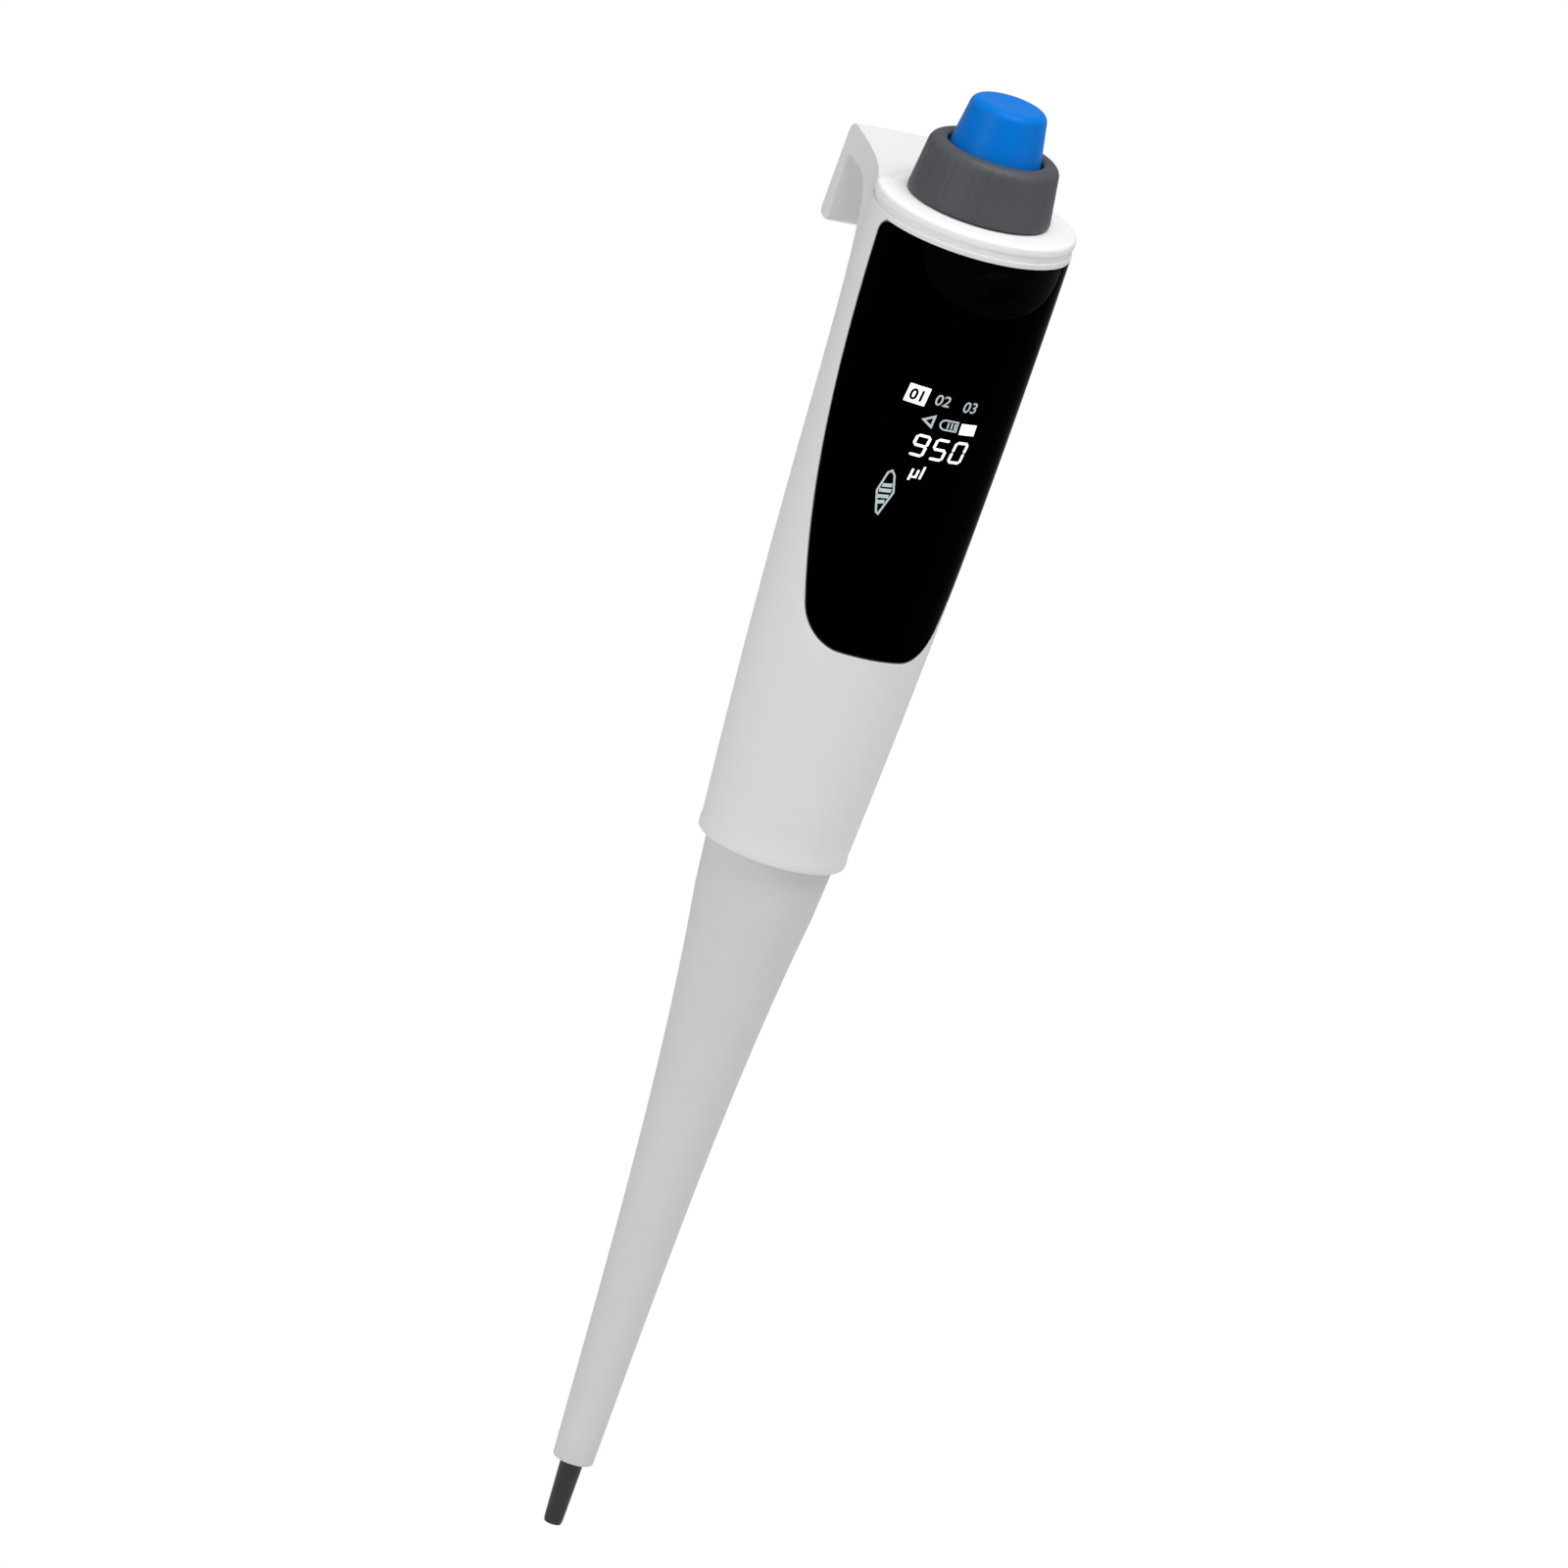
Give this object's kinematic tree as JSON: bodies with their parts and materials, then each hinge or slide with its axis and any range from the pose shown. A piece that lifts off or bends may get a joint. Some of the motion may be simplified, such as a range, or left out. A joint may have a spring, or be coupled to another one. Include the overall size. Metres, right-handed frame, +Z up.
{
  "type": "electronic pipette",
  "caption": "Motor-driven single-channel pipette: tapered handle with finger hook, wrapped display panel, trigger, setting ring, eject button, long ejector sleeve and tip cone.",
  "frame": {"origin": "the middle of the flat land under the finger hook, where the pipette rests on a finger or a stand's rail", "axes": "+Z runs up the instrument from the tip cone to the eject button, +Y is the way the finger hook reaches, +X is across the handle; the display faces -Y"},
  "size_m": [0.0372, 0.0588, 0.2764],
  "materials": {
    "white_abs": "fine satin moulding, off-white",
    "grey_abs": "fine satin moulding, light grey",
    "black_gloss": "polished black",
    "dark_abs": "satin dark grey",
    "blue_abs": "satin bright blue",
    "white_acetal": "natural acetal or PTFE",
    "circuit_board": "green solder mask",
    "cell_wrap": "shrink sleeve",
    "steel": "fine turned",
    "brass": "turned",
    "rubber": "matt"
  },
  "bodies": {
    "handle": {"front_shell": "white_abs", "rear_shell": "white_abs", "top_cover": "white_abs", "front_panel": "black_gloss", "display_module": "black_gloss", "main_board": "circuit_board", "trigger_switch": "steel", "charging_socket": "steel", "battery_cell": "cell_wrap", "cradle": "white_acetal", "drive_frame": "grey_abs", "motor_can": "steel", "guide_bush": "white_acetal", "encoder_board": "circuit_board", "cylinder": "steel", "tip_cone": "dark_abs", "piston_seal": "white_acetal", "o_ring": "rubber", "seal_retainer": "brass", "case_screw_1": "steel", "case_screw_2": "steel", "case_screw_3": "steel", "case_screw_4": "steel", "motor_screw_1": "steel", "motor_screw_2": "steel"},
    "trigger_piece": {"trigger": "black_gloss"},
    "knob": {"setting_ring": "dark_abs", "encoder_ring": "white_acetal"},
    "ejector": {"eject_button": "blue_abs", "eject_stem": "steel", "ejector_bar": "grey_abs", "ejector_sleeve": "grey_abs", "ejector_spring": "steel"},
    "rotor": {"motor_rotor": "steel"},
    "plunger": {"lead_screw": "steel", "piston_coupler": "brass", "piston": "steel"}
  },
  "joints": [
    {"name": "setting_ring_turn", "type": "hinge", "parent": "handle", "child": "knob", "pos_m": [0, -0.0306, 0.0055], "axis": [0, 0, 1], "continuous": true},
    {"name": "eject_press", "type": "slide", "parent": "handle", "child": "ejector", "axis": [0, 0, -1], "range_m": [0, 0.007], "stiffness_N_per_m": 400, "springref_m": -0.005, "deforming": ["ejector_spring"]},
    {"name": "trigger_press", "type": "slide", "parent": "handle", "child": "trigger_piece", "axis": [0, 1, 0], "range_m": [0, 0.0008], "stiffness_N_per_m": 1500, "springref_m": -0.0005},
    {"name": "rotor_turn", "type": "hinge", "parent": "handle", "child": "rotor", "pos_m": [0, -0.0306, -0.0812], "axis": [0, 0, 1], "range_deg": [0, 5652]},
    {"name": "piston_lift", "type": "slide", "parent": "handle", "child": "plunger", "axis": [0, 0, 1], "range_m": [0, 0.0158]}
  ],
  "couplings": [
    {"joint": "piston_lift", "follows": "rotor_turn", "m_per_rad": 0.00015915}
  ]
}
